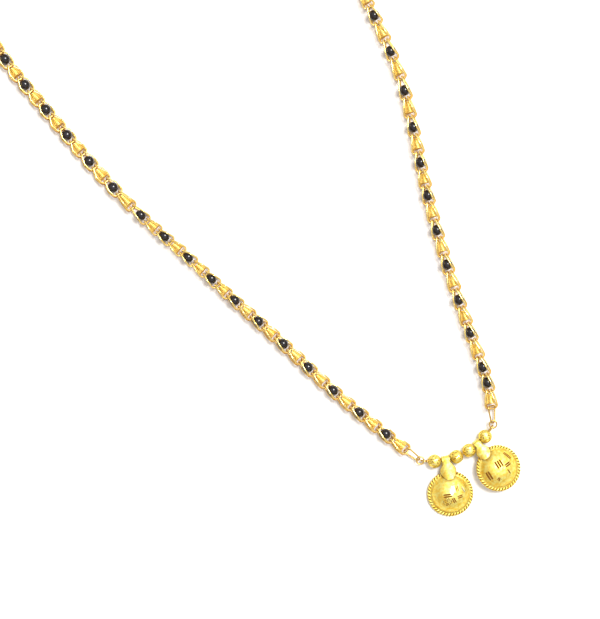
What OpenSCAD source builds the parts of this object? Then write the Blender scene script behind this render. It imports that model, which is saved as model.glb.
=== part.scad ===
// Mangalsutra laid flat as a whole loop: two arms of wire cages that hold black beads and coils
// in turn, a short curved wire with four cut balls and two domed cup pendants (vatis) on petal
// bails, and a hook at the back of the neck. Lengths are in millimetres, the floor is z = 0 and
// the back of the neck points to +Y.

/* [Pendants] */
// Diameter of a cup over its rope rim
cup_d = 12; // [11.8:0.1:12.1]
// Height of the dome above the rim
dome_h = 3.1; // [2.9:0.1:3.3]
// Number of twists in the rope rim
rope_turns = 44; // [40:2:46]
// Thickness of the dome's sheet
dome_wall = 0.5; // [0.4:0.05:0.6]

/* [Balls] */
// Diameter of the four cut balls
ball_d = 3.5; // [3.3:0.1:3.5]
// Number of cuts round a ball
ball_cuts = 8; // [6:1:10]

/* [Chain] */
// Diameter of the black beads
bead_d = 2.8; // [2.5:0.1:2.8]
// Widest diameter of a coil
coil_d = 2.6; // [2.3:0.1:2.6]
// Number of turns in a coil
coil_turns = 8; // [6:1:9]
// Width of the wire of a cage
cage_wire = 0.4; // [0.3:0.05:0.4]

/* [Hidden] */
gold = [0.93, 0.70, 0.16];
black = [0.04, 0.04, 0.05];

// Middle of the piece's outline, which is moved to the origin
middle = [16.07, 36.28];

// Pendant wire: an arc with a small upright eye at each end
arc_at = [16.7, -36.5];
arc_r = 18.1;
wire_r = 0.3;
wire_z = ball_d / 2;
ball_angles = [-121, -102.6, -91, -73.5];
bore_r = 0.62;
eye_r = 0.64;
eye_angles = [-129.8, -64.7];
ring_r = 0.95;
thin_r = 0.2;

// Cup: rope rim of touching twists, domed sheet over it
rope_r = 0.5;
rope_ring_r = cup_d / 2 - rope_r;
dome_inset = 0.4;
dome_r = rope_ring_r - dome_inset;
band_inset = 0.2;
band_r = rope_ring_r - band_inset;
band_h = 0.7;
ball_of_dome = (dome_r * dome_r + dome_h * dome_h) / (2 * dome_h);
dome_centre = rope_r + dome_h - ball_of_dome;

// Cuts in the dome, which are shallow strokes: [turn from the star, distance from the top, heading]
cut_r = 0.25;
cut_depth = 0.13;
cut_side = 0.24;
cut_l = 3;
star_out = 1.5;
strokes = [[0, star_out, 0], [90, star_out, 0], [180, star_out, 0], [270, star_out, 0],
    [35, 3.6, 90], [160, 3.8, 90]];

// Cups as placed: [x, y], turn of the star, lean, way of the lean
left_cup = [[6.2, -61.3], -33.5, 5, 244];
right_cup = [[20.1, -62.6], 16.5, 12, -8.5];

// Petal bails: angle on the wire, length of the tube, way of the petal, its rise and its scale
left_bail = [-111.8, 2.1, -111, 2, 1];
right_bail = [-82.2, 1.8, -90, 6, 0.88];
tube_r = 1.1;
petal_curve_r = 3.2;
petal_t = 0.45;
petal_reach = 14;
// Half widths of the petal along its length: [distance from the tube, half width]
petal_edge = [[-0.6, 0.75], [0.6, 0.85], [1.4, 1.4], [2.3, 2], [3, 2.1], [3.9, 1.8], [4.7, 1.2], [5.2, 0.5]];

// Cage: a closed wire folded in half round the next cage's ends. Each half is a loop that rises from
// the fold to a ridge beside the bead, then falls to its round end.
wire_half = cage_wire / 2;
loop_t = 0.4;
sheet_lap = 0.08;
fold_half = 0.45;
fold_z = 1.2;
fold_inset = 0.02;
ridge_back = 1.7;
end_lap = 0.66;
end_z = 0.6;
wide_half = 1.42;
corner_r = 0.85;
arc_steps = 3;
bead_gap = 0.21;
rail_taper = 0.05;
// How far the bead's middle and the coil's wide end lie from the joint at the cage's round end, and how
// much shorter a coil is than its cage's pitch
bead_back = 1.8;
coil_back = 0.45;
coil_room = 1.56;
coil_start_r = 0.85;
rib_h = 0.14;
rest_gap = 0.03;

// Oval link between the jump ring and the first cage
oval_half = 1.4;
oval_corner_r = 0.5;
oval_nose_r = 0.9;
oval_gap = 0.36;
oval_turn = 25;
rod_more = 0.01;
rod_lap = 0.04;

// Arms from the jump ring to the hook: [x, y]
left_path = [[4.4, -49.8], [0.7, -39.2], [-4.4, -22.5], [-8.7, -4.5], [-12.9, 11.6], [-16.5, 26.5],
    [-20.9, 43], [-23, 53.2], [-24.5, 63], [-26.4, 80], [-28, 96], [-27, 110], [-19, 125], [-6, 135],
    [9, 139.2], [16, 139.5]];
right_path = [[25.3, -52.4], [30.1, -42.5], [33.4, -29.5], [38.2, -11.2], [43.9, 6.4], [50.4, 23],
    [55, 36], [58, 53], [60, 74], [60, 95], [56.5, 112], [47, 126.5], [34, 135.7], [22, 139.2], [16, 139.5]];
path_steps = 12;
// Pitch of the cages from the pendants on: [cages, pitch]. The rest are spread evenly.
first_joint = 4.76;
left_zones = [[1, 4.8], [9, 4.42], [1, 4.24], [10, 4.1], [2, 5.1], [3, 4.6], [3, 4.28], [5, 4.2]];
right_zones = [[1, 4.4], [1, 4.25], [2, 4.72], [2, 4.5], [2, 4.8], [4, 4.65], [2, 4.36], [2, 4.66], [2, 4.9],
    [2, 5.4], [2, 5.1]];
left_rest = 14;
right_rest = 23;
// Roll of the cages: [distance from the jump ring, angle]
left_roll = [[0, -10], [20, -13], [57, -13], [71, -1], [83, 3], [99, -9], [108, -12], [300, -8]];
right_roll = [[0, 16], [100, 14], [150, 6], [300, 8]];
// Half width of the loops beside the bead: [distance from the jump ring, half width]
left_open = [[0, 1.3], [40, 1.25], [60, 1.12], [101, 1.15], [102, 1.5], [300, 1.5]];
right_open = [[0, 1.15], [120, 1.15], [135, 1.25], [300, 1.15]];

// Hook of the clasp, which holds a ring of each arm
hook_r = 0.4;
hook_bend_r = 1.3;
hook_half = 2.5;
hook_mouth = 1;
clasp_ring_r = 1.3;
clasp_wire_r = 0.25;
ring_beyond_hook = 1.7;
clasp_ring_at = hook_half + ring_beyond_hook;
clasp_ring_lap = 0.83;
last_post_at = clasp_ring_at + clasp_ring_r - clasp_ring_lap;

// Curve through the path's points, then as a list of [length, value] for each axis
function bend(p, i, t) = let (a = p[max(i - 1, 0)], b = p[i], c = p[i + 1], d = p[min(i + 2, len(p) - 1)])
    (2 * b + (c - a) * t + (2 * a - 5 * b + 4 * c - d) * t * t + (3 * b - a - 3 * c + d) * t * t * t) / 2;
function smooth(p) = concat(
    [for (i = [0:len(p) - 2]) for (k = [0:path_steps - 1]) bend(p, i, k / path_steps)],
    [p[len(p) - 1]]);
function lengths(q) = let (last = len(q) - 1)
    [for (i = 0, s = 0; i <= last; s = s + norm(q[min(i + 1, last)] - q[i]), i = i + 1) s];
function axis_table(q, s, axis) = [for (i = [0:len(q) - 1]) [s[i], q[i][axis]]];
function total(v, i = 0) = i < len(v) ? v[i] + total(v, i + 1) : 0;

// Distance of each joint from the jump ring
function pitches(zones, rest, room) = let (own = [for (z = zones) for (i = [1:z[0]]) z[1]])
    concat(own, [for (i = [1:rest]) (room - total(own)) / rest]);
function stations(p) = let (n = len(p))
    [for (i = 0, s = first_joint; i <= n; s = s + (i < n ? p[i] : 0), i = i + 1) s];

// Height of a loop at its ridge, where it passes the bead, and where its round end starts
function ridge_z(open) = loop_t / 2
    + sqrt(pow(bead_d / 2 + bead_gap, 2) - pow(open - wire_half - rail_taper, 2));
function corner_z(open) = end_z + (ridge_z(open) - end_z) * corner_r / (ridge_back + end_lap);

// Height of a cage's middle line that lets its lowest edge touch the floor
function rest_height(roll, open) = rest_gap + max(
    (open + wire_half) * abs(sin(roll)) + (ridge_z(open) + loop_t / 2) * abs(cos(roll)),
    (wide_half + wire_half) * abs(sin(roll)) + (corner_z(open) + loop_t / 2) * abs(cos(roll)));

// An arm is [joints, rolls, half widths]
function arm(path, zones, rest, rolls, opens) = let (q = smooth(path), s = lengths(q))
    let (xs = axis_table(q, s, 0), ys = axis_table(q, s, 1))
    let (at = stations(pitches(zones, rest, s[len(s) - 1] - last_post_at - first_joint)))
    let (roll = [for (a = at) lookup(a, rolls)], open = [for (a = at) lookup(a, opens)])
    let (high = [for (k = [0:len(at) - 1]) rest_height(roll[k], open[k])])
    [[for (k = [0:len(at) - 1]) [lookup(at[k], xs), lookup(at[k], ys), max(high[k], high[max(k - 1, 0)])]],
        roll, open];
left_arm = arm(left_path, left_zones, left_rest, left_roll, left_open);
right_arm = arm(right_path, right_zones, right_rest, right_roll, right_open);

// Which cages hold a black bead. The others hold a coil.
function left_black(k) = k % 2 == 1;
function right_black(k) = k == 1 || (k > 0 && k % 2 == 0);
left_count = len(left_arm[0]) - 1;
right_count = len(right_arm[0]) - 1;
left_black_places = [for (k = [0:left_count - 1]) if (left_black(k)) k];
left_coil_places = [for (k = [0:left_count - 1]) if (!left_black(k)) k];
right_black_places = [for (k = [0:right_count - 1]) if (right_black(k)) k];
right_coil_places = [for (k = [0:right_count - 1]) if (!right_black(k)) k];

function arc_points(at, r, from, to, steps) = [for (i = [0:steps])
    let (a = from + (to - from) * i / steps) at + r * [cos(a), sin(a)]];

// The part of a loop from the fold to the ridge: two rails that part like a V
function fold_outline(l, open) = let (far = l + sheet_lap)
    [[-fold_half - wire_half, -wire_half], [fold_half + wire_half, -wire_half],
    [open + wire_half, far], [open - wire_half, far], [fold_half - wire_half, wire_half],
    [wire_half - fold_half, wire_half], [wire_half - open, far], [-open - wire_half, far]];

// The part of a loop from the ridge to its round end: a U
function end_outline(l, open) = let (at = [wide_half - corner_r, l - corner_r], out = corner_r + wire_half)
    let (in = corner_r - wire_half, far = [-at[0], at[1]], edge = open + wire_half, rim = open - wire_half)
    concat([[edge, -sheet_lap]],
        arc_points(at, out, 0, 90, arc_steps), arc_points(far, out, 90, 180, arc_steps),
        [[-edge, -sheet_lap], [-rim, -sheet_lap]],
        arc_points(far, in, 180, 90, arc_steps), arc_points(at, in, 90, 0, arc_steps),
        [[rim, -sheet_lap]]);

function drop_tilt(l, half, corner, nose) = let (dx = half - corner, dy = l - corner - nose)
    atan2(dy, dx) - acos((nose - corner) / norm([dx, dy]));

// Places its children with y from one point to another, rolled about that line
module span(from, to, roll) {
    way = to - from;
    translate(from)
        rotate([0, 0, atan2(way[1], way[0]) - 90])
            rotate([asin(way[2] / norm(way)), 0, 0])
                rotate([0, roll, 0])
                    children();
}

module ring(major, minor) {
    rotate_extrude()
        translate([major, 0])
            circle(r = minor, $fn = 24);
}

module bow(major, minor, turn) {
    rotate_extrude(angle = turn)
        translate([major, 0])
            circle(r = minor, $fn = 24);
}

module rod(l, r) {
    translate([0, -rod_lap, 0])
        rotate([-90, 0, 0])
            cylinder(r = r + rod_more, h = l + 2 * rod_lap, $fn = 24);
}

// Round wire bent to a drop in the xy plane, with its nose at y = 0
module wire_drop(l, half, corner, nose, r) {
    turn = drop_tilt(l, half, corner, nose);
    dx = half - corner;
    low = [nose * cos(turn), nose + nose * sin(turn)];
    high = [dx + corner * cos(turn), l - corner + corner * sin(turn)];
    translate([0, nose, 0])
        rotate([0, 0, 180 - turn])
            bow(nose, r, 180 + 2 * turn);
    for (side = [0, 1])
        mirror([side, 0, 0]) {
            translate(low)
                rotate([0, 0, turn])
                    rod(norm(high - low), r);
            translate([dx, l - corner, 0])
                rotate([0, 0, turn])
                    bow(corner, r, 90 - turn);
        }
    translate([-dx, l, 0])
        rotate([0, 0, -90])
            rod(2 * dx, r);
}

// Sheet of wire thickness with its outline in the plane that starts at a height and rises along y
module rail_sheet(at, rise, outline) {
    translate(at)
        rotate([rise, 0, 0])
            translate([0, 0, -loop_t / 2])
                linear_extrude(loop_t)
                    polygon(outline);
}

// Cage with its fold at y = 0. The pitch is the distance to the joint at its round end.
module cage(pitch, open) {
    ridge = [0, pitch - ridge_back, ridge_z(open)];
    way = [ridge[1], ridge[2] - fold_z];
    fall = [ridge_back + end_lap, ridge[2] - end_z];
    for (side = [0, 1])
        mirror([0, 0, side]) {
            rail_sheet([0, 0, fold_z], atan2(way[1], way[0]), fold_outline(norm(way), open));
            rail_sheet(ridge, -atan2(fall[1], fall[0]), end_outline(norm(fall), open));
        }
    cube([2 * (fold_half + wire_half - fold_inset), cage_wire - 2 * fold_inset, 2 * fold_z], center = true);
}

// Outline of a coil as [radius, distance from its narrow end], with a rib for each turn
function coil_outline(l) = let (step = l / coil_turns, inner_r = coil_start_r - rib_h / 2)
    let (slope = (coil_d / 2 - inner_r - rib_h) / l)
    concat([[0, 0]],
        [for (i = [0:coil_turns - 1]) for (half = [0, 1])
            [inner_r + slope * step * (i + half / 2) + rib_h * half, step * (i + half / 2)]],
        [[inner_r + slope * l, l], [0, l]]);

module coil(l) {
    rotate([-90, 0, 0])
        rotate_extrude()
            polygon(coil_outline(l));
}

module cages(line) {
    for (k = [0:len(line[0]) - 2])
        span(line[0][k + 1], line[0][k], line[1][k])
            cage(norm(line[0][k + 1] - line[0][k]), line[2][k]);
}

module coils(line, places) {
    for (k = places) {
        l = norm(line[0][k + 1] - line[0][k]) - coil_room;
        span(line[0][k], line[0][k + 1], line[1][k])
            translate([0, coil_back + l, 0])
                rotate([0, 0, 180])
                    coil(l);
    }
}

module beads(line, places) {
    for (k = places)
        span(line[0][k], line[0][k + 1], line[1][k])
            translate([0, bead_back, 0])
                sphere(r = bead_d / 2);
}

// Straight groove across a ball of radius r, heading along x at its top
module stroke(r) {
    translate([0, 0, r + cut_r - cut_depth])
        rotate([0, 90, 0])
            cylinder(r = cut_r, h = cut_l, center = true);
}

module dome_cuts() {
    for (row = strokes)
        for (side = [-1, 1])
            translate([0, 0, dome_centre])
                rotate([0, 0, row[0]])
                    rotate([0, asin(row[1] / ball_of_dome), 0])
                        rotate([0, 0, row[2]])
                            rotate([asin(side * cut_side / ball_of_dome), 0, 0])
                                stroke(ball_of_dome);
}

module cup() {
    difference() {
        union() {
            intersection() {
                translate([0, 0, dome_centre])
                    sphere(r = ball_of_dome);
                translate([0, 0, rope_r])
                    cylinder(r = cup_d, h = cup_d);
            }
            translate([0, 0, rope_r - band_h / 2])
                cylinder(r = band_r, h = band_h);
            for (i = [1:rope_turns])
                rotate([0, 0, i * 360 / rope_turns])
                    translate([rope_ring_r, 0, rope_r])
                        sphere(r = rope_r);
        }
        translate([0, 0, dome_centre])
            sphere(r = ball_of_dome - dome_wall);
        dome_cuts();
    }
}

module placed_cup(place) {
    lean = place[2];
    translate([place[0][0], place[0][1], rope_ring_r * sin(lean) + rope_r * (1 - cos(lean))])
        rotate([0, 0, place[3]])
            rotate([0, lean, 0])
                rotate([0, 0, place[1] - place[3]])
                    cup();
}

// Places its children on the pendant wire, with x outward and y along the wire
module on_wire(angle) {
    translate([arc_at[0], arc_at[1], wire_z])
        rotate([0, 0, angle])
            translate([arc_r, 0, 0])
                children();
}

// Leaf shaped sheet that is curved across, with its length along x
module petal(size) {
    edge = petal_edge * size;
    far_side = [for (i = [len(edge) - 1:-1:0]) [edge[i][0], -edge[i][1]]];
    intersection() {
        linear_extrude(2 * petal_curve_r)
            polygon(concat(edge, far_side));
        rotate([0, 90, 0])
            difference() {
                cylinder(r = petal_curve_r, h = petal_reach, center = true);
                cylinder(r = petal_curve_r - petal_t, h = 2 * petal_reach, center = true);
            }
    }
}

module bail(place) {
    on_wire(place[0])
        difference() {
            union() {
                rotate([90, 0, 0])
                    cylinder(r = tube_r, h = place[1], center = true);
                rotate([0, 0, place[2] - place[0]])
                    rotate([0, -place[3], 0])
                        translate([0, 0, tube_r - petal_curve_r])
                            petal(place[4]);
            }
            rotate([90, 0, 0])
                cylinder(r = bore_r, h = 2 * place[1], center = true);
        }
}

// Ball on the wire, with its hole along the wire
module ball(angle) {
    on_wire(angle)
        rotate([90, 0, 0])
            difference() {
                sphere(r = ball_d / 2);
                cylinder(r = bore_r, h = 2 * ball_d, center = true);
                for (i = [1:ball_cuts])
                    rotate([0, 0, i * 360 / ball_cuts])
                        rotate([0, 90, 0])
                            stroke(ball_d / 2);
            }
}

function ring_at(path) = [path[0][0], path[0][1], wire_z];

module jump_ring(line, path) {
    span(line[0][0], ring_at(path), 0)
        translate([0, norm(line[0][0] - ring_at(path)), 0])
            ring(ring_r, thin_r);
}

module oval_link(line, path) {
    l = norm(line[0][0] - ring_at(path)) - oval_gap;
    roll = line[1][0];
    span(line[0][0], ring_at(path), roll + sign(roll) * oval_turn)
        rotate([0, 90, 0])
            translate([0, l, 0])
                rotate([0, 0, 180])
                    wire_drop(l, oval_half, oval_corner_r, oval_nose_r, thin_r);
}

module clasp_ring(line) {
    last = len(line[0]) - 1;
    span(line[0][last], line[0][last - 1], line[1][last])
        translate([0, clasp_ring_lap - clasp_ring_r, 0])
            ring(clasp_ring_r, clasp_wire_r);
}

module at_middle() {
    translate([-middle[0], -middle[1], 0])
        children();
}

module left_vati() {
    color(gold)
        at_middle() {
            placed_cup(left_cup);
            bail(left_bail);
        }
}

module right_vati() {
    color(gold)
        at_middle() {
            placed_cup(right_cup);
            bail(right_bail);
        }
}

module pendant_wire() {
    eye_turn = asin(eye_r / arc_r);
    color(gold)
        at_middle() {
            translate([arc_at[0], arc_at[1], wire_z])
                rotate([0, 0, eye_angles[0] + eye_turn])
                    bow(arc_r, wire_r, eye_angles[1] - eye_angles[0] - 2 * eye_turn);
            for (angle = eye_angles)
                on_wire(angle)
                    rotate([0, 90, 0])
                        ring(eye_r, thin_r);
        }
}

module ball_1() {
    color(gold)
        at_middle()
            ball(ball_angles[0]);
}

module ball_2() {
    color(gold)
        at_middle()
            ball(ball_angles[1]);
}

module ball_3() {
    color(gold)
        at_middle()
            ball(ball_angles[2]);
}

module ball_4() {
    color(gold)
        at_middle()
            ball(ball_angles[3]);
}

module left_jump_ring() {
    color(gold)
        at_middle()
            jump_ring(left_arm, left_path);
}

module right_jump_ring() {
    color(gold)
        at_middle()
            jump_ring(right_arm, right_path);
}

module left_oval_link() {
    color(gold)
        at_middle()
            oval_link(left_arm, left_path);
}

module right_oval_link() {
    color(gold)
        at_middle()
            oval_link(right_arm, right_path);
}

module left_chain() {
    color(gold)
        at_middle()
            cages(left_arm);
}

module right_chain() {
    color(gold)
        at_middle()
            cages(right_arm);
}

module left_coils() {
    color(gold)
        at_middle()
            coils(left_arm, left_coil_places);
}

module right_coils() {
    color(gold)
        at_middle()
            coils(right_arm, right_coil_places);
}

module left_black_beads() {
    color(black)
        at_middle()
            beads(left_arm, left_black_places);
}

module right_black_beads() {
    color(black)
        at_middle()
            beads(right_arm, right_black_places);
}

module left_clasp_ring() {
    color(gold)
        at_middle()
            clasp_ring(left_arm);
}

module right_clasp_ring() {
    color(gold)
        at_middle()
            clasp_ring(right_arm);
}

// Hook of round wire that stands on edge, with a bend at each end
module clasp_hook() {
    last = left_path[len(left_path) - 1];
    color(gold)
        at_middle()
            translate([last[0], last[1], left_arm[0][left_count][2]])
                rotate([90, 0, 0]) {
                    for (side = [0, 1])
                        mirror([side, 0, 0]) {
                            translate([hook_half, 0, 0])
                                rotate([0, 0, -90])
                                    bow(hook_bend_r, hook_r, 180);
                            translate([hook_mouth, -hook_bend_r, 0])
                                rotate([0, 0, -90])
                                    rod(hook_half - hook_mouth, hook_r);
                        }
                    translate([-hook_half, hook_bend_r, 0])
                        rotate([0, 0, -90])
                            rod(2 * hook_half, hook_r);
                }
}

left_vati();
right_vati();
pendant_wire();
ball_1();
ball_2();
ball_3();
ball_4();
left_jump_ring();
right_jump_ring();
left_oval_link();
right_oval_link();
left_chain();
right_chain();
left_coils();
right_coils();
left_black_beads();
right_black_beads();
left_clasp_ring();
right_clasp_ring();
clasp_hook();
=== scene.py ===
import math
import random

import bpy
import numpy as np
from mathutils.kdtree import KDTree
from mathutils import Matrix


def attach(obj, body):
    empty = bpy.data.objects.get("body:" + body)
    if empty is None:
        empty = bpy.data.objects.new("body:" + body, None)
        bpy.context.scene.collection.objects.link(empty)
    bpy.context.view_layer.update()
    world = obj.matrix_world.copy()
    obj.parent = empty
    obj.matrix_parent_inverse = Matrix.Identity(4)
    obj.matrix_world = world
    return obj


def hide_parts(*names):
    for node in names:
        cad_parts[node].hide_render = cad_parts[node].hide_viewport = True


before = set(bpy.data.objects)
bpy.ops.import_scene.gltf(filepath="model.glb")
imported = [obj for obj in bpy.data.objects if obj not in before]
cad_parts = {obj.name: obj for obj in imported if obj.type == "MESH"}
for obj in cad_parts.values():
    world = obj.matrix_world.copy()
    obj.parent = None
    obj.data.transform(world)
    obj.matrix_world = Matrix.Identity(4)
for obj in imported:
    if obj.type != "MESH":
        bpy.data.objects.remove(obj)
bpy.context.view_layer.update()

MM = 0.001

# Sizes are in millimetres, as in part.scad, until a mesh is made. Places count from the middle of the
# photograph, in the directions of the CAD frame. MIDDLE, the middle of the whole loop, becomes its origin.
MIDDLE = np.array([16.07, 36.28])

# Photograph: its height in pixels, its scale, its turn from the CAD frame, and the camera above its middle
PHOTO_H = 619
MM_PER_PIXEL = 0.26
PHOTO_TURN = math.radians(-33.5)
CAMERA_HEIGHT = 450.0
SENSOR = 36.0

# Chain: path of each arm from its jump ring to the hook
LEFT_PATH = [(4.4, -49.8), (0.7, -39.2), (-4.4, -22.5), (-8.7, -4.5), (-12.9, 11.6), (-16.5, 26.5),
             (-20.9, 43), (-23, 53.2), (-24.5, 63), (-26.4, 80), (-28, 96), (-27, 110), (-19, 125),
             (-6, 135), (9, 139.2), (16, 139.5)]
RIGHT_PATH = [(25.3, -52.4), (30.1, -42.5), (33.4, -29.5), (38.2, -11.2), (43.9, 6.4), (50.4, 23),
              (55, 36), (58, 53), (60, 74), (60, 95), (56.5, 112), (47, 126.5), (34, 135.7),
              (22, 139.2), (16, 139.5)]
PATH_STEPS = 12
# Joints: distance of the first from the jump ring, then the cages from the pendants on, as (how many, their
# pitch). LEFT_REST and RIGHT_REST more are spread evenly over what is left.
FIRST_JOINT = 4.76
LEFT_ZONES = [(1, 4.8), (9, 4.42), (1, 4.24), (10, 4.1), (2, 5.1), (3, 4.6), (3, 4.28), (5, 4.2)]
RIGHT_ZONES = [(1, 4.4), (1, 4.25), (2, 4.72), (2, 4.5), (2, 4.8), (4, 4.65), (2, 4.36), (2, 4.66),
               (2, 4.9), (2, 5.4), (2, 5.1)]
LEFT_REST, RIGHT_REST = 14, 23
# Roll of the cages, and half width of their loops beside the bead, both by the distance from the jump ring
LEFT_ROLL = [(0, -10), (20, -13), (57, -13), (71, -1), (83, 3), (99, -9), (108, -12), (300, -8)]
RIGHT_ROLL = [(0, 16), (100, 14), (150, 6), (300, 8)]
LEFT_OPEN = [(0, 1.3), (40, 1.25), (60, 1.12), (101, 1.15), (102, 1.5), (300, 1.5)]
RIGHT_OPEN = [(0, 1.15), (120, 1.15), (135, 1.25), (300, 1.15)]
# Clasp at the end of both paths, and how far before it the last joint lies
HOOK_HALF, RING_BEYOND_HOOK, CLASP_RING_R, CLASP_RING_LAP = 2.5, 1.7, 1.3, 0.83
LAST_POST_AT = HOOK_HALF + RING_BEYOND_HOOK + CLASP_RING_R - CLASP_RING_LAP
# Cage: its wire, its fold, its ridge and its round end, and its room round the bead and over the floor
WIRE_R, LOOP_T = 0.2, 0.4
FOLD_HALF, FOLD_Z = 0.45, 1.2
RIDGE_BACK, END_LAP, END_Z = 1.7, 0.66, 0.6
WIDE_HALF, CORNER_R = 1.42, 0.85
BEAD_GAP, RAIL_TAPER, REST_GAP = 0.21, 0.05, 0.03
# Bead: its radius, how far its middle lies from the joint at its cage's round end, and how far its surface
# stops short of its poles, in radians
BEAD_R, BEAD_BACK, BEAD_POLE = 1.4, 1.8, 0.02
# Coil: how far its wide end lies from that joint, how much shorter than its cage's pitch it is, its radius
# at its narrow and at its wide end, and its turns
COIL_BACK, COIL_ROOM, COIL_START_R, COIL_END_R, COIL_TURNS = 0.45, 1.56, 0.85, 1.3, 8
# Its wire as a share of the room for it, how far its core stands past the wire's middle as a share of the
# wire's radius, and the radius at the tips of the core
COIL_WIRE_FILL, COIL_CORE, CORE_TIP_R = 0.98, 0.4, 0.02

# Pendants: the arc of their wire, the balls on it, and the cups with rope rims
ARC_AT, ARC_R, WIRE_Z = np.array([16.7, -36.5]), 18.1, 1.75
BALL_ANGLES = (-121, -102.6, -91, -73.5)
BALL_R, BORE_R = 1.75, 0.62
ROPE_R, ROPE_RING_R, ROPE_TWISTS = 0.5, 5.5, 44
DOME_BASE_R, DOME_H, BAND_R, BAND_H, BAND_EDGE, DOME_WALL = 5.1, 3.1, 5.3, 0.7, 0.08, 0.5
# Degrees up the dome and up its inside, which both stop just short of the top
DOME_TOP, INSIDE_TOP = 89.6, 89.4
DOME_R = (DOME_BASE_R ** 2 + DOME_H ** 2) / (2 * DOME_H)
DOME_CENTRE = ROPE_R + DOME_H - DOME_R
STRAND_R = 0.25
# From middle to middle of strokes side by side, in widths of a stroke
STROKE_SPACING = 1.25
# Strokes of each dome: turn, distance from the top, heading, strokes side by side, length, width, depth,
# and 1 for a stroke painted dark as shade or -1 for a facet painted pale as a highlight
LEFT_STROKES = [(-178, 0.95, 8, 2, 2.4, 0.44, 0.11, 1), (-60, 1.5, 0, 2, 1.8, 0.36, 0.07, 1),
                (-8, 2.4, 20, 2, 1.7, 0.38, 0.06, 1), (81, 1.25, -2, 1, 2.4, 1.0, 0.09, -1),
                (25, 3.7, -79, 1, 2.0, 0.6, 0.06, -1), (50, 2.4, 50, 2, 1.7, 0.36, 0.05, 1)]
RIGHT_STROKES = [(75, 1.3, -6, 3, 2.2, 0.54, 0.13, 1), (-21, 1.95, 3, 2, 2.0, 0.42, 0.11, 1),
                 (-74, 2.3, -24, 1, 1.7, 0.34, 0.08, 1), (164, 4.0, 89, 2, 2.5, 0.54, 0.13, 1),
                 (9, 4.1, 80, 2, 2.6, 0.40, 0.10, 1), (-153, 3.0, -20, 2, 1.2, 0.30, 0.03, 1)]
# Punched spot of each dome: turn, distance from the top, its radius, number of dents
LEFT_SPOT, RIGHT_SPOT = (-118, 2.1, 1.2, 60), (-150, 3.2, 0.6, 14)
DENT_R, DENT_DEPTH, SPOT_SEED = 0.13, 0.03, 7
# Cups as placed: (x, y), turn of their strokes, lean, way of the lean
LEFT_CUP = ((6.2, -61.3), -33.5, 5, 244)
RIGHT_CUP = ((20.1, -62.6), 16.5, 12, -8.5)
# Petal bails: angle on the wire, length of the tube, way of the petal, its rise and its scale
LEFT_BAIL = (-111.8, 2.1, -111, 2, 1.0)
RIGHT_BAIL = (-82.2, 1.8, -90, 6, 0.88)
TUBE_R, PETAL_CURVE_R, PETAL_T = 1.1, 3.2, 0.45
# Half width of the petal by the distance from its tube
PETAL_EDGE = [(-0.6, 0.75), (0.6, 0.85), (1.4, 1.4), (2.3, 2), (3, 2.1), (3.9, 1.8), (4.7, 1.2), (5.2, 0.5)]
# Relief of a petal: depth, and the half width from which it starts. A crease also has a length and a slant.
KEEL, KEEL_FROM = 0.1, 0.5
CREASE, CREASE_FROM, CREASE_LENGTH, CREASE_SLANT = 0.03, 0.9, 1.6, 0.5
# Bead round each end of a bail's tube: distance out from its radius and from its end
TUBE_END = [(-0.1, 0), (0, -0.08), (0, -0.28), (-0.13, -0.38), (-0.04, -0.5)]
# Cuts of a ball: how many, the share of its height that they cover, the spread of their turns and headings,
# the range of their lengths and widths, their depth, and one of how many is a facet painted pale as a
# highlight
MARKS, MARKS_HEIGHT, MARK_TURN, MARK_HEADING = 64, 0.92, 12, 50
MARK_LENGTH, MARK_WIDTH, MARK_DEPTH, MARK_SHINES = (0.45, 0.9), (0.16, 0.24), 0.05, 4
GOLDEN_ANGLE = 137.5

# Each point carries a value, from 0 on plain gold to 1 in a stroke of full depth, and the gold is painted
# dark as shade by it. Only points within SKIN of a ball's surface are sunk. The same values also paint shade
# a little in hollows and where parts shade each other: under a cage, in its fold and its round ends, at a
# coil's wide end, between the strands of a rim, at the foot of a dome, close beside a petal, and on a petal's
# edge and underside.
FULL_CUT, SKIN = 0.08, 0.02
UNDER_SHADE = 0.12
FOLD_SHADE, FOLD_REACH = 0.08, 0.5
END_SHADE, END_FROM = 0.1, -0.2
COIL_SHADE, COIL_SHADE_FROM, COIL_SHADE_RISE = 0.2, -0.5, 0.4
STRAND_SHADE_FROM, STRAND_SHADE_RISE = 0.4, 0.2
FOOT_SHADE, FOOT_FROM, FOOT_RISE = 0.13, 4.65, 0.3
BESIDE_SHADE, BESIDE_REACH = 0.2, 0.9
PETAL_SHADE = 0.16

# Fineness of the meshes
CAGE_SIDES, CAGE_STEPS = 10, 2
COIL_SIDES, COIL_STEPS, CORE_SIDES = 8, 20, 20
BEAD_SIDES, BEAD_RINGS = 32, 20
DOME_SIDES, DOME_RINGS, INSIDE_RINGS = 300, 96, 24
STRAND_SIDES, STRAND_STEPS = 10, 8
PETAL_ROWS, PETAL_COLUMNS = 36, 17
TUBE_SIDES = 40
BALL_SIDES, BALL_RINGS = 120, 64


def turn_about(axis, degrees):
    """Rotation matrix about x, y or z."""
    c, s = math.cos(math.radians(degrees)), math.sin(math.radians(degrees))
    i, j = {"x": (1, 2), "y": (2, 0), "z": (0, 1)}[axis]
    m = np.eye(3)
    m[i, i] = m[j, j] = c
    m[i, j], m[j, i] = -s, s
    return m


# Path of an arm, as in part.scad

def between(a, b, c, d, t):
    """Point a share t of the way from b to c, on a smooth curve that comes from a and goes on to d."""
    return (2 * b + (c - a) * t + (2 * a - 5 * b + 4 * c - d) * t ** 2 + (3 * b - a - 3 * c + d) * t ** 3) / 2


def smooth(points):
    """Smooth curve through points."""
    p = np.array(points, float)
    out = []
    for i in range(len(p) - 1):
        a, b, c, d = p[max(i - 1, 0)], p[i], p[i + 1], p[min(i + 2, len(p) - 1)]
        out += [between(a, b, c, d, k / PATH_STEPS) for k in range(PATH_STEPS)]
    return np.array(out + [p[-1]])


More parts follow.
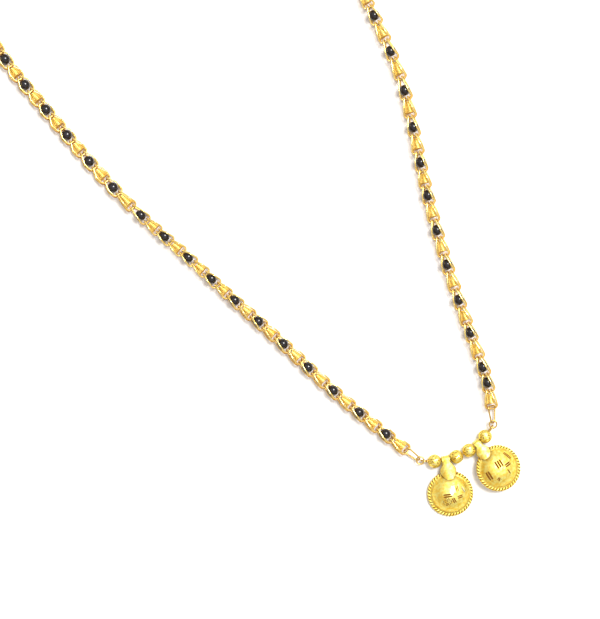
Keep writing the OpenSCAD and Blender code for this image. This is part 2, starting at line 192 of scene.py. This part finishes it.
def ridge_z(half):
    """Height of a cage's rails over its middle plane, where they clear its bead."""
    return LOOP_T / 2 + math.sqrt((BEAD_R + BEAD_GAP) ** 2 - (half - WIRE_R - RAIL_TAPER) ** 2)


def corner_z(half):
    """Height of a cage's wire where its round end starts to bend in."""
    return END_Z + (ridge_z(half) - END_Z) * CORNER_R / (RIDGE_BACK + END_LAP)


def rest_height(roll, half):
    """Height of a cage's middle line when the cage lies on the floor, rolled about that line."""
    c, s = abs(math.cos(math.radians(roll))), abs(math.sin(math.radians(roll)))
    return REST_GAP + max((half + WIRE_R) * s + (ridge_z(half) + LOOP_T / 2) * c,
                          (WIDE_HALF + WIRE_R) * s + (corner_z(half) + LOOP_T / 2) * c)


def arm(path, zones, rest, rolls, opens):
    """Joints, rolls and half widths of an arm's cages, from the pendants to the clasp."""
    q = smooth(path)
    s = np.concatenate([[0], np.cumsum(np.linalg.norm(np.diff(q, axis=0), axis=1))])
    own = [pitch for count, pitch in zones for _ in range(count)]
    left = s[-1] - LAST_POST_AT - FIRST_JOINT - sum(own)
    at = np.concatenate([[FIRST_JOINT], FIRST_JOINT + np.cumsum(own + [left / rest] * rest)])
    roll, half = np.interp(at, *zip(*rolls)), np.interp(at, *zip(*opens))
    high = [rest_height(*pair) for pair in zip(roll, half)]
    z = [max(high[k], high[max(k - 1, 0)]) for k in range(len(at))]
    joints = np.stack([np.interp(at, s, q[:, 0]) - MIDDLE[0], np.interp(at, s, q[:, 1]) - MIDDLE[1], z], 1)
    return joints, roll, half


def span(start, end, roll):
    """(rotation, origin) that puts y from one point to another, rolled about that line."""
    way = end - start
    m = turn_about("z", math.degrees(math.atan2(way[1], way[0])) - 90)
    m = m @ turn_about("x", math.degrees(math.asin(way[2] / np.linalg.norm(way)))) @ turn_about("y", roll)
    return m, start


# Mesh building: every shape is (points, faces), joined and placed before it becomes an object

def placed(shape, m, at=(0, 0, 0)):
    """Shape turned by a rotation and then moved."""
    points, faces = shape[:2]
    return (points @ np.asarray(m).T + np.asarray(at, float), faces, *shape[2:])


def joined(shapes):
    """One (points, faces, depth and painted shade) from several. A shape that has no such values gets 0 on
    every point.
    """
    points, faces, cut, n = [], [], [], 0
    for shape in shapes:
        points.append(shape[0])
        faces.extend([[i + n for i in face] for face in shape[1]])
        cut.append(shape[2] if len(shape) > 2 else np.zeros(len(shape[0])))
        n += len(shape[0])
    return np.concatenate(points), faces, np.concatenate(cut)


def grid_faces(rows, columns, wrap_rows, wrap_columns):
    """Faces between the points of a grid, closed round either way."""
    out = []
    for r in range(rows if wrap_rows else rows - 1):
        for c in range(columns if wrap_columns else columns - 1):
            this, following = r * columns, (r + 1) % rows * columns
            out.append([this + c, this + (c + 1) % columns, following + (c + 1) % columns, following + c])
    return out


def end_faces(count, sides):
    """Faces over the two ends of an open tube of count points."""
    return [list(range(sides))[::-1], [count - sides + i for i in range(sides)]]


def tube(path, radius, sides, closed, up=(0, 0, 1)):
    """Wire along a path. Its section's second direction lies as near up as it can."""
    path, up = np.asarray(path, float), np.asarray(up, float)
    ahead = np.roll(path, -1, 0) - np.roll(path, 1, 0)
    if not closed:
        ahead[0], ahead[-1] = path[1] - path[0], path[-1] - path[-2]
    ahead /= np.linalg.norm(ahead, axis=1)[:, None]
    side = np.cross(ahead, up)
    side /= np.linalg.norm(side, axis=1)[:, None]
    top = np.cross(side, ahead)
    turn = np.arange(sides) * 2 * math.pi / sides
    points = (path[:, None] + radius * (np.cos(turn)[None, :, None] * side[:, None]
                                        + np.sin(turn)[None, :, None] * top[:, None])).reshape(-1, 3)
    faces = grid_faces(len(path), sides, closed, True)
    return points, faces if closed else faces + end_faces(len(points), sides)


def lathe(profile, segments, closed=True):
    """Profile of (radius, z) turned about z. A closed profile joins its last point to its first."""
    p = np.asarray(profile, float)
    turn = np.arange(segments) * 2 * math.pi / segments
    points = np.stack([p[:, None, 0] * np.cos(turn), p[:, None, 0] * np.sin(turn),
                       np.repeat(p[:, None, 1], segments, 1)], -1).reshape(-1, 3)
    return points, grid_faces(len(p), segments, closed, True)


def arc(centre, radius, start, end, steps):
    """Points of an arc between two angles in degrees."""
    turn = np.radians(np.linspace(start, end, steps + 1))
    return np.stack([centre[0] + radius * np.cos(turn), centre[1] + radius * np.sin(turn)], 1)


def make(name, shape, material, slot, *nodes):
    """Object from a shape in millimetres. It rides on the one body and replaces the CAD nodes named."""
    points, faces, cut = joined([shape])
    mesh = bpy.data.meshes.new(name)
    mesh.from_pydata((points * MM).tolist(), [], faces)
    mesh.polygons.foreach_set("use_smooth", [True] * len(faces))
    mesh.attributes.new("cut", "FLOAT", "POINT").data.foreach_set("value", cut)
    mesh.materials.append(material)
    mesh.validate()
    obj = bpy.data.objects.new(name, mesh)
    bpy.context.scene.collection.objects.link(obj)
    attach(obj, "root")
    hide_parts(*nodes)


# Shapes of the chain

def closed_curve(points, steps):
    """Closed smooth curve through points."""
    p = np.asarray(points, float)
    out = []
    for i in range(len(p)):
        a, b, c, d = p[i - 1], p[i], p[(i + 1) % len(p)], p[(i + 2) % len(p)]
        out += [between(a, b, c, d, t) for t in np.arange(steps) / steps]
    return np.array(out)


def ring_wire(path, radius, sides):
    """Round wire along a closed curve in space, with no twist at its seam."""
    ahead = np.roll(path, -1, 0) - np.roll(path, 1, 0)
    ahead /= np.linalg.norm(ahead, axis=1)[:, None]
    side = [np.cross(ahead[0], (0.3, 0.2, 0.9))]
    side[0] /= np.linalg.norm(side[0])
    for i in range(1, len(path) + 1):
        t = ahead[i % len(path)]
        v = side[-1] - t * (side[-1] @ t)
        side.append(v / np.linalg.norm(v))
    seam = math.atan2(side[-1] @ np.cross(ahead[0], side[0]), side[-1] @ side[0])
    side = np.array(side[:-1])
    top = np.cross(ahead, side)
    untwist = seam * (np.arange(len(path)) / len(path))
    turn = (np.arange(sides) * 2 * math.pi / sides)[None, :] - untwist[:, None]
    section = np.cos(turn)[..., None] * side[:, None] + np.sin(turn)[..., None] * top[:, None]
    return (path[:, None] + radius * section).reshape(-1, 3), grid_faces(len(path), sides, True, True)


def cage(pitch, half):
    """One closed wire folded in half: its fold is at y = 0 and its round ends lie past the pitch."""
    ridge, top = pitch - RIDGE_BACK, ridge_z(half)
    flat = RIDGE_BACK + END_LAP
    fall = (top - END_Z) / flat
    # Points of one rail: up from the fold, out to the ridge, over it, and round half of the end
    rail = [(FOLD_HALF, 0.0, 0.35), (FOLD_HALF, 0.03, 0.85), (FOLD_HALF + 0.03, 0.3, FOLD_Z),
            (FOLD_HALF + (half - FOLD_HALF) * 0.5, ridge * 0.5, FOLD_Z + (top - FOLD_Z) * 0.55),
            (half - 0.03, ridge - 0.25, top - 0.03), (half + 0.03, ridge + 0.3, top - fall * 0.3 - 0.02)]
    for a in (-10, 15, 40, 65, 84):
        x = WIDE_HALF - CORNER_R + CORNER_R * math.cos(math.radians(a))
        y = ridge + flat - CORNER_R * (1 - math.sin(math.radians(a)))
        rail.append((x, y, top - fall * (y - ridge)))
    right = np.array(rail)
    left = right[::-1] * (-1, 1, 1)
    upper = np.concatenate([right, left])
    lower = upper[::-1] * (1, 1, -1)
    wire = closed_curve(np.concatenate([upper, lower]), CAGE_STEPS)
    points, faces = ring_wire(wire, WIRE_R, CAGE_SIDES)
    # Painted shade: the gold is darker on the wire under the middle plane, in the fold and at the round ends
    cut = (np.where(points[:, 2] < 0, UNDER_SHADE, 0) + np.where(points[:, 1] < FOLD_REACH, FOLD_SHADE, 0)
           + np.where(points[:, 1] > pitch + END_FROM, END_SHADE, 0))
    return points, faces, cut


def coil(length):
    """Wound wire on a cone, narrow end at y = 0."""
    wire = length / COIL_TURNS / 2
    turns = COIL_TURNS - 1
    steps = turns * COIL_STEPS
    t = np.linspace(0, 1, steps + 1)
    r = COIL_START_R - wire + (COIL_END_R - COIL_START_R) * t
    turn = t * turns * 2 * math.pi
    path = np.stack([r * np.cos(turn), wire + t * (length - 2 * wire), r * np.sin(turn)], 1)
    some = slice(None, None, steps // COIL_TURNS)
    core = [(CORE_TIP_R, wire), *zip(r[some] + COIL_CORE * wire, path[some, 1]), (CORE_TIP_R, length - wire)]
    solid = placed(lathe(core, CORE_SIDES, False), turn_about("x", -90))
    points, faces, _ = joined([tube(path, wire * COIL_WIRE_FILL, COIL_SIDES, False, up=(0, 1, 0)), solid])
    # Painted shade, deepening towards the coil's wide end
    return points, faces, COIL_SHADE * np.clip((points[:, 1] - length - COIL_SHADE_FROM) / COIL_SHADE_RISE, 0, 1)


def bead():
    """Ball of glass, with a pinhole at each pole."""
    turns = np.linspace(BEAD_POLE, math.pi - BEAD_POLE, BEAD_RINGS + 1)
    profile = [(BEAD_R * math.sin(a), BEAD_R * math.cos(a)) for a in turns]
    return placed(lathe(profile, BEAD_SIDES, False), turn_about("x", 90))


def coils(line, places):
    """Coils of an arm, each in its cage."""
    joints, roll, _ = line
    out = []
    for k in places:
        length = np.linalg.norm(joints[k + 1] - joints[k]) - COIL_ROOM
        wound_wire = placed(coil(length), turn_about("z", 180), (0, COIL_BACK + length, 0))
        out.append(placed(wound_wire, *span(joints[k], joints[k + 1], roll[k])))
    return joined(out)


def beads(line, places):
    """Black beads of an arm, each in its cage."""
    joints, roll, _ = line
    ball_of_glass = placed(bead(), np.eye(3), (0, BEAD_BACK, 0))
    return joined([placed(ball_of_glass, *span(joints[k], joints[k + 1], roll[k])) for k in places])


def cages(line):
    """Cages of an arm. The fold of each lies at the joint farther from the pendants."""
    joints, roll, half = line
    return joined([placed(cage(np.linalg.norm(joints[k + 1] - joints[k]), half[k]),
                          *span(joints[k + 1], joints[k], roll[k])) for k in range(len(joints) - 1)])


# Shapes of the pendants

def cut_ball(points, centre, radius, strokes, dents=()):
    """Sinks strokes and punched dents in a ball's surface. Its value for each point is the depth sunk there
    as a share of FULL_CUT, which paints shade on the gold, and is below 0 on a facet that gets a painted pale
    highlight.
    """
    from_centre = points - centre
    distance = np.linalg.norm(from_centre, axis=1)
    unit = from_centre / distance[:, None]
    new = np.full(len(points), radius)
    sign = np.ones(len(points))
    for turn, out, heading, count, length, width, depth, kind in strokes:
        for n in range(count):
            side_by = (n - (count - 1) / 2) * STROKE_SPACING * width
            m = turn_about("z", turn) @ turn_about("y", math.degrees(out / radius)) @ turn_about("z", heading)
            m = m @ turn_about("x", math.degrees(side_by / radius))
            along, across, above = (radius * unit @ m).T
            share = (1 - (2 * across / width) ** 2) * (1 - (2 * along / length) ** 2)
            reach = radius - depth * share
            hit = (np.abs(across) < width / 2) & (np.abs(along) < length / 2) & (above > 0) & (reach < new)
            new[hit] = reach[hit]
            sign[hit] = kind
    for at, size, depth in dents:
        away = np.linalg.norm(unit - at, axis=1) * radius / size
        new = np.where(away < 1, np.minimum(new, radius - depth * (1 - away ** 2)), new)
    outer = distance > radius - SKIN
    cut = np.where(outer, (radius - new) / FULL_CUT, 0)
    moved = np.where(outer, distance - (radius - new), distance)
    return centre + unit * moved[:, None], np.clip(cut, 0, 1) * sign


def punched(spot, radius, seed):
    """Small dents strewn over a round spot of a dome."""
    turn, out, spread, count = spot
    chance = random.Random(seed)
    m = turn_about("z", turn) @ turn_about("y", math.degrees(out / radius))
    dents = []
    for _ in range(count):
        way, far = chance.uniform(0, 360), spread * math.sqrt(chance.random())
        at = m @ turn_about("z", way) @ turn_about("y", math.degrees(far / radius)) @ np.array([0, 0, 1])
        dents.append((at, DENT_R, DENT_DEPTH))
    return dents


def cup(strokes, spot):
    """Domed cup with its rope rim: the floor of its rim is z = 0."""
    edge = math.degrees(math.asin((ROPE_R + BAND_H / 2 - DOME_CENTRE) / DOME_R))
    inner_edge = math.degrees(math.asin((ROPE_R - BAND_H / 2 - DOME_CENTRE) / (DOME_R - DOME_WALL)))
    dome = arc((0, DOME_CENTRE), DOME_R, DOME_TOP, edge, DOME_RINGS)
    inside = arc((0, DOME_CENTRE), DOME_R - DOME_WALL, inner_edge, INSIDE_TOP, INSIDE_RINGS)
    low, high = ROPE_R - BAND_H / 2, ROPE_R + BAND_H / 2
    band = [(BAND_R - BAND_EDGE, high), (BAND_R, high - BAND_EDGE),
            (BAND_R, low + BAND_EDGE), (BAND_R - BAND_EDGE, low)]
    points, faces = lathe([*dome, *band, *inside], DOME_SIDES)
    dents = punched(spot, DOME_R, SPOT_SEED)
    points, cut = cut_ball(points, np.array([0, 0, DOME_CENTRE]), DOME_R, strokes, dents)
    # Painted shade at the foot of the dome, where it meets its rim
    foot = np.clip((np.hypot(points[:, 0], points[:, 1]) - FOOT_FROM) / FOOT_RISE, 0, 1)
    cut = np.where(cut == 0, FOOT_SHADE * foot, cut)
    return joined([(points, faces, cut), *strands()])


def strands():
    """The two strands of a rope rim, twisted round each other."""
    out = []
    steps = ROPE_TWISTS * STRAND_STEPS
    turn = np.arange(steps) * 2 * math.pi / steps
    for start in (0, math.pi):
        twist = start + turn * ROPE_TWISTS / 2
        r, z = ROPE_RING_R + STRAND_R * np.cos(twist), ROPE_R + STRAND_R * np.sin(twist)
        line = np.stack([r * np.cos(turn), r * np.sin(turn), z], 1)
        wire, faces = tube(line, STRAND_R, STRAND_SIDES, True)
        from_core = np.hypot(np.hypot(wire[:, 0], wire[:, 1]) - ROPE_RING_R, wire[:, 2] - ROPE_R)
        # Painted shade between the two strands, deepest nearest the middle of the rope
        out.append((wire, faces, np.clip((STRAND_SHADE_FROM - from_core) / STRAND_SHADE_RISE, 0, 1)))
    return out


def placed_cup(place, strokes, spot):
    """Cup leaning on the floor: its lean lifts its middle."""
    (x, y), turn, lean, way = place
    lift = ROPE_RING_R * math.sin(math.radians(lean)) + ROPE_R * (1 - math.cos(math.radians(lean)))
    m = turn_about("z", way) @ turn_about("y", lean) @ turn_about("z", turn - way)
    return placed(cup(strokes, spot), m, (x - MIDDLE[0], y - MIDDLE[1], lift))


def on_wire(shape, angle):
    """Places a shape on the pendant wire, with x outward and y along the wire."""
    m = turn_about("z", angle)
    at = np.array([*(ARC_AT - MIDDLE), WIRE_Z]) + m @ np.array([ARC_R, 0, 0])
    return placed(shape, m, at)


def petal(size):
    """Leaf shaped sheet, curved across, with a soft keel along it."""
    edge = np.array(PETAL_EDGE) * size
    x = edge[0, 0] + (edge[-1, 0] - edge[0, 0]) * np.linspace(0, 1, PETAL_ROWS)
    half = np.interp(x, *smooth(edge).T)[:, None]
    across = np.linspace(-1, 1, PETAL_COLUMNS)
    y = half * across
    bend = np.sqrt(PETAL_CURVE_R ** 2 - y ** 2) - PETAL_CURVE_R
    keel = KEEL * np.abs(across) * np.clip(half - KEEL_FROM, 0, 1)
    slanted = x[:, None] + CREASE_SLANT * y
    crease = CREASE * np.cos(slanted * 2 * math.pi / CREASE_LENGTH) * np.clip(half - CREASE_FROM, 0, 1)
    top = np.stack([np.repeat(x[:, None], PETAL_COLUMNS, 1), y, bend - keel - CREASE + crease], -1)
    bottom = top - np.array([0, 0, PETAL_T - KEEL])
    points = np.concatenate([top, bottom[:, ::-1]], 1).reshape(-1, 3)
    faces = grid_faces(PETAL_ROWS, 2 * PETAL_COLUMNS, False, True) + end_faces(len(points), 2 * PETAL_COLUMNS)
    # Painted shade on the petal's two side edges and all over its underside
    at_edge = np.where(np.abs(across) == 1, PETAL_SHADE, 0)
    return points, faces, np.tile([*at_edge, *[PETAL_SHADE] * PETAL_COLUMNS], PETAL_ROWS)


def bail(place):
    """Tube on the pendant wire with the petal that hangs from it."""
    angle, width, way, rise, size = place
    half = width / 2
    outside = [(TUBE_R + out, half + along) for out, along in TUBE_END]
    profile = outside + [(r, -z) for r, z in outside[::-1]] + [(BORE_R, -half), (BORE_R, half)]
    ring = placed(lathe(profile, TUBE_SIDES), turn_about("x", 90))
    m = turn_about("z", way - angle) @ turn_about("y", -rise)
    leaf = placed(petal(size), m, m @ np.array([0, 0, TUBE_R]))
    return on_wire(joined([ring, leaf]), angle)


def pendant(cup_shape, bail_shape):
    """Cup with its bail. The gold of the cup is painted with shadow close beside the petal."""
    points, faces, cut = cup_shape
    tree = KDTree(len(bail_shape[0]))
    for i, (x, y, _) in enumerate(bail_shape[0]):
        tree.insert((x, y, 0), i)
    tree.balance()
    away = np.array([tree.find((x, y, 0))[2] for x, y, _ in points])
    shade = BESIDE_SHADE * np.clip(1 - away / BESIDE_REACH, 0, 1)
    return joined([(points, faces, np.where(cut >= 0, np.maximum(cut, shade), cut)), bail_shape])


def ball(seed):
    """Drilled ball with small cuts strewn all round: the hole runs along y."""
    hole = math.degrees(math.asin(BORE_R / BALL_R))
    points, faces = lathe(arc((0, 0), BALL_R, 90 - hole, hole - 90, BALL_RINGS), BALL_SIDES)
    chance = random.Random(seed)
    marks = []
    for n in range(MARKS):
        out = math.acos(MARKS_HEIGHT * (1 - (2 * n + 1) / MARKS)) * BALL_R
        turn = n * GOLDEN_ANGLE + chance.uniform(-MARK_TURN, MARK_TURN)
        heading = chance.uniform(-MARK_HEADING, MARK_HEADING)
        length, width = chance.uniform(*MARK_LENGTH), chance.uniform(*MARK_WIDTH)
        # Every MARK_SHINES-th mark is a facet with a painted pale highlight; the others are strokes painted
        # dark as shade
        kind = -1 if n % MARK_SHINES == 0 else 1
        marks.append((turn, out, heading, 1, length, width, MARK_DEPTH, kind))
    points, cut = cut_ball(points, np.zeros(3), BALL_R, marks)
    return placed((points, faces, cut), turn_about("x", 90))


# Materials

# Painted light and shade: a pale highlight on facets, dark brown shade in the strokes and hollows of the
# frosted gold, and orange-brown shade in the hollows of the cages and coils
EDGE_TINT, FACET_HIGHLIGHT_GOLD = (0.5, 0.32, 0.13), (1.0, 0.95, 0.72)
FROSTED_SHADE_GOLD, CAGE_AND_COIL_SHADE_GOLD = (0.20, 0.075, 0.012), (0.50, 0.21, 0.03)
FACET_ROUGHNESS, GRAIN_STRENGTH = 0.25, 0.8
# Ranges: noise across the edge of a patch, values that turn plain gold into painted shade and into a facet's
# painted highlight, and the specular level out of the painted shade and in it
PATCH_EDGE, SHADE_RANGE, HIGHLIGHT_RANGE, GLARE = (0.35, 0.65), (0.02, 0.25), (-0.05, -0.4), (0.5, 0.03)


def feed(tree, node, inputs):
    """Sets a node's inputs, each to a value or to the output that feeds it."""
    for key, value in inputs.items():
        if isinstance(value, bpy.types.NodeSocket):
            tree.links.new(value, node.inputs[key])
        else:
            node.inputs[key].default_value = value


def add(tree, kind, inputs=None, **settings):
    """New node of a material or of the world."""
    node = tree.nodes.new("ShaderNode" + kind)
    for key, value in settings.items():
        setattr(node, key, value)
    feed(tree, node, inputs or {})
    return node


def ramp(tree, value, start, end, low=0.0, high=1.0):
    """Goes from low to high while a value goes from start to end."""
    inputs = {"Value": value, "From Min": start, "From Max": end, "To Min": low, "To Max": high}
    return add(tree, "MapRange", inputs).outputs["Result"]


def mix(tree, share, a, b, kind="RGBA"):
    """Goes from a to b with a share from 0 to 1."""
    return add(tree, "Mix", {"Factor": share, "A": a, "B": b}, data_type=kind).outputs["Result"]


def noise(tree, place, scale, detail=2.0):
    """Noise of a scale per metre."""
    return add(tree, "TexNoise", {"Vector": place, "Scale": scale, "Detail": detail}).outputs["Fac"]


def new_material(name):
    """Material, its tree and its shader."""
    material = bpy.data.materials.new(name)
    material.use_nodes = True
    return material, material.node_tree, material.node_tree.nodes["Principled BSDF"]


def gold(name, light, deep, patches, roughness, grain, grain_depth, in_cuts=None, cut_roughness=None):
    """Gold plate in patches of two tones, with a fine grain. The colour given after the grain, if any, is
    painted as shade in its strokes and hollows, where the gold also loses its shine, and its facets then get
    a painted pale highlight.
    """
    material, tree, shader = new_material(name)
    place = add(tree, "TexCoord").outputs["Object"]
    tone = mix(tree, ramp(tree, noise(tree, place, patches, 3), *PATCH_EDGE), (*light, 1), (*deep, 1))
    look = {"Specular Tint": (*EDGE_TINT, 1), "Metallic": 1.0, "Roughness": roughness, "Base Color": tone}
    bump = {"Strength": GRAIN_STRENGTH, "Distance": grain_depth, "Height": noise(tree, place, grain, 4)}
    if in_cuts:
        # Painted shade in strokes and hollows, with less shine there, and a painted pale highlight on facets
        cut = add(tree, "Attribute", attribute_name="cut").outputs["Fac"]
        shade_share, facet = ramp(tree, cut, *SHADE_RANGE), ramp(tree, cut, *HIGHLIGHT_RANGE)
        cut_tone = mix(tree, shade_share, tone, (*in_cuts, 1))
        rough = ramp(tree, shade_share, 0, 1, roughness, cut_roughness)
        look["Metallic"] = ramp(tree, shade_share, 0, 1, 1, 0)
        look["Specular IOR Level"] = ramp(tree, shade_share, 0, 1, *GLARE)
        look["Base Color"] = mix(tree, facet, cut_tone, (*FACET_HIGHLIGHT_GOLD, 1))
        look["Roughness"] = mix(tree, facet, rough, FACET_ROUGHNESS, "FLOAT")
        bump["Strength"] = ramp(tree, shade_share, 0, 1, GRAIN_STRENGTH, 0)
    feed(tree, shader, {**look, "Normal": add(tree, "Bump", bump).outputs["Normal"]})
    return material


def black_glass():
    """Polished black glass with faint cloudy patches."""
    material, tree, shader = new_material("black_glass")
    place = add(tree, "TexCoord").outputs["Object"]
    tone = mix(tree, noise(tree, place, 700), (0.004, 0.004, 0.006, 1), (0.014, 0.010, 0.012, 1))
    feed(tree, shader, {"Base Color": tone, "Roughness": 0.08, "IOR": 1.52})
    return material


# Light and deep tone, patches per metre, roughness, grains per metre, their depth in metres, and the colour
# and roughness of strokes and hollows, where that colour is painted shade
plate = gold("gold_plate", (1.0, 0.84, 0.34), (0.96, 0.70, 0.20), 700, 0.2, 3000, 0.00001, CAGE_AND_COIL_SHADE_GOLD, 0.4)
wound = gold("gold_wound", (1.0, 0.80, 0.27), (0.90, 0.60, 0.13), 900, 0.36, 3000, 0.00001, CAGE_AND_COIL_SHADE_GOLD, 0.4)
frosted = gold("gold_frosted", (1.0, 0.93, 0.30), (0.93, 0.65, 0.09), 1300, 0.5, 3600, 0.00009, FROSTED_SHADE_GOLD, 0.5)
drawn = gold("gold_drawn", (0.72, 0.50, 0.16), (0.58, 0.38, 0.10), 700, 0.3, 3000, 0.00001)
glass = black_glass()

# Pieces
left_line = arm(LEFT_PATH, LEFT_ZONES, LEFT_REST, LEFT_ROLL, LEFT_OPEN)
right_line = arm(RIGHT_PATH, RIGHT_ZONES, RIGHT_REST, RIGHT_ROLL, RIGHT_OPEN)
left_count, right_count = len(left_line[0]) - 1, len(right_line[0]) - 1
left_black = [k for k in range(left_count) if k % 2 == 1]
right_black = [k for k in range(right_count) if k == 1 or (k > 0 and k % 2 == 0)]

for side, line, count, black in (("left", left_line, left_count, left_black),
                                 ("right", right_line, right_count, right_black)):
    make(f"{side}_cages", cages(line), plate, "gold", f"{side}_chain")
    wound_places = [k for k in range(count) if k not in black]
    make(f"{side}_wound_coils", coils(line, wound_places), wound, "coil_gold", f"{side}_coils")
    make(f"{side}_glass_beads", beads(line, black), glass, "black_bead", f"{side}_black_beads")

left_cup = placed_cup(LEFT_CUP, LEFT_STROKES, LEFT_SPOT)
right_cup = placed_cup(RIGHT_CUP, RIGHT_STROKES, RIGHT_SPOT)
make("left_cup_pendant", pendant(left_cup, bail(LEFT_BAIL)), frosted, "gold", "left_vati")
make("right_cup_pendant", pendant(right_cup, bail(RIGHT_BAIL)), frosted, "gold", "right_vati")
for n, angle in enumerate(BALL_ANGLES, 1):
    make(f"cut_ball_{n}", on_wire(ball(n), angle), frosted, "gold", f"ball_{n}")

for name in ("pendant_wire", "left_jump_ring", "right_jump_ring", "left_oval_link", "right_oval_link",
             "left_clasp_ring", "right_clasp_ring", "clasp_hook"):
    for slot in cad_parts[name].material_slots:
        slot.material = drawn

# Floor, light and camera, in metres
FLOOR_HALF = 3.0
KEY_UP, KEY_RIGHT, KEY_HEIGHT, KEY_SIZE, KEY_POWER = 0.36, 0.38, 1.0, 0.5, 15.0
# Sky: its colours level with the floor and below, a part of the way up, and from there to straight above,
# and a warm dark towards the photograph's lower left
SKY_LOW, SKY_MIDDLE, SKY_HIGH = (0.16, 0.12, 0.08, 1), (0.36, 0.32, 0.27, 1), (1, 0.995, 0.99, 1)
SKY_MIDDLE_AT, SKY_HIGH_AT, SKY_POWER = 0.25, 0.62, 0.95
WARM, WARM_UP, WARM_RIGHT, WARM_RANGE, WARM_SHARE = (0.42, 0.24, 0.10, 1), -0.62, -0.78, (0.25, 0.85), 0.75
photo_middle = -MIDDLE * MM
image_up = np.array([math.sin(-PHOTO_TURN), math.cos(PHOTO_TURN)])
image_right = np.array([math.cos(PHOTO_TURN), math.sin(PHOTO_TURN)])


def in_scene(obj):
    """Puts an object in the scene."""
    bpy.context.scene.collection.objects.link(obj)
    return obj


def floor():
    """Plain pale floor, wide enough for every view."""
    material, tree, shader = new_material("floor_white")
    patches = add(tree, "TexNoise", {"Scale": 3}).outputs["Fac"]
    tone = mix(tree, patches, (0.93, 0.925, 0.925, 1), (0.90, 0.895, 0.895, 1))
    feed(tree, shader, {"Base Color": tone, "Roughness": 0.8})
    mesh = bpy.data.meshes.new("floor")
    corners = [(x * FLOOR_HALF, y * FLOOR_HALF, 0) for x, y in ((-1, -1), (1, -1), (1, 1), (-1, 1))]
    mesh.from_pydata(corners, [], [(0, 1, 2, 3)])
    mesh.materials.append(material)
    in_scene(bpy.data.objects.new("floor", mesh))


def key_light():
    """Round soft light, turned towards the middle of the photograph."""
    data = bpy.data.lights.new("key", "AREA")
    data.shape = "DISK"
    data.size = KEY_SIZE
    data.energy = KEY_POWER
    data.color = (1, 0.985, 0.97)
    at = np.array([*(photo_middle + KEY_UP * image_up + KEY_RIGHT * image_right), KEY_HEIGHT])
    way = np.array([*photo_middle, 0]) - at
    obj = in_scene(bpy.data.objects.new("key", data))
    obj.location = at
    tilt = math.acos(-way[2] / np.linalg.norm(way))
    obj.rotation_euler = (tilt, 0, math.atan2(way[1], way[0]) - math.pi / 2)


def sky():
    """World that is bright above, darker low down, and warm on one side."""
    world = bpy.data.worlds.new("studio")
    bpy.context.scene.world = world
    world.use_nodes = True
    tree = world.node_tree
    way = add(tree, "TexCoord").outputs["Generated"]
    dome = add(tree, "ValToRGB", {"Fac": add(tree, "SeparateXYZ", {0: way}).outputs["Z"]})
    tones = dome.color_ramp.elements
    tones[0].color = SKY_LOW
    tones[1].position, tones[1].color = SKY_HIGH_AT, SKY_HIGH
    tones.new(SKY_MIDDLE_AT).color = SKY_MIDDLE
    warm_way = (*(WARM_UP * image_up + WARM_RIGHT * image_right), 0)
    toward = add(tree, "VectorMath", {0: way, 1: warm_way}, operation="DOT_PRODUCT").outputs["Value"]
    warm = ramp(tree, toward, *WARM_RANGE, 0, WARM_SHARE)
    tinted = mix(tree, warm, dome.outputs["Color"], WARM)
    feed(tree, tree.nodes["Background"], {"Color": tinted, "Strength": SKY_POWER})


floor()
key_light()
sky()
camera = in_scene(bpy.data.objects.new("camera", bpy.data.cameras.new("camera")))
camera.data.sensor_width = SENSOR
camera.data.lens = SENSOR * CAMERA_HEIGHT / (PHOTO_H * MM_PER_PIXEL)
camera.data.clip_start = 0.01
camera.location = (*photo_middle, CAMERA_HEIGHT * MM)
camera.rotation_euler = (0, 0, PHOTO_TURN)
bpy.context.scene.camera = camera
bpy.context.scene.view_settings.view_transform = "Standard"
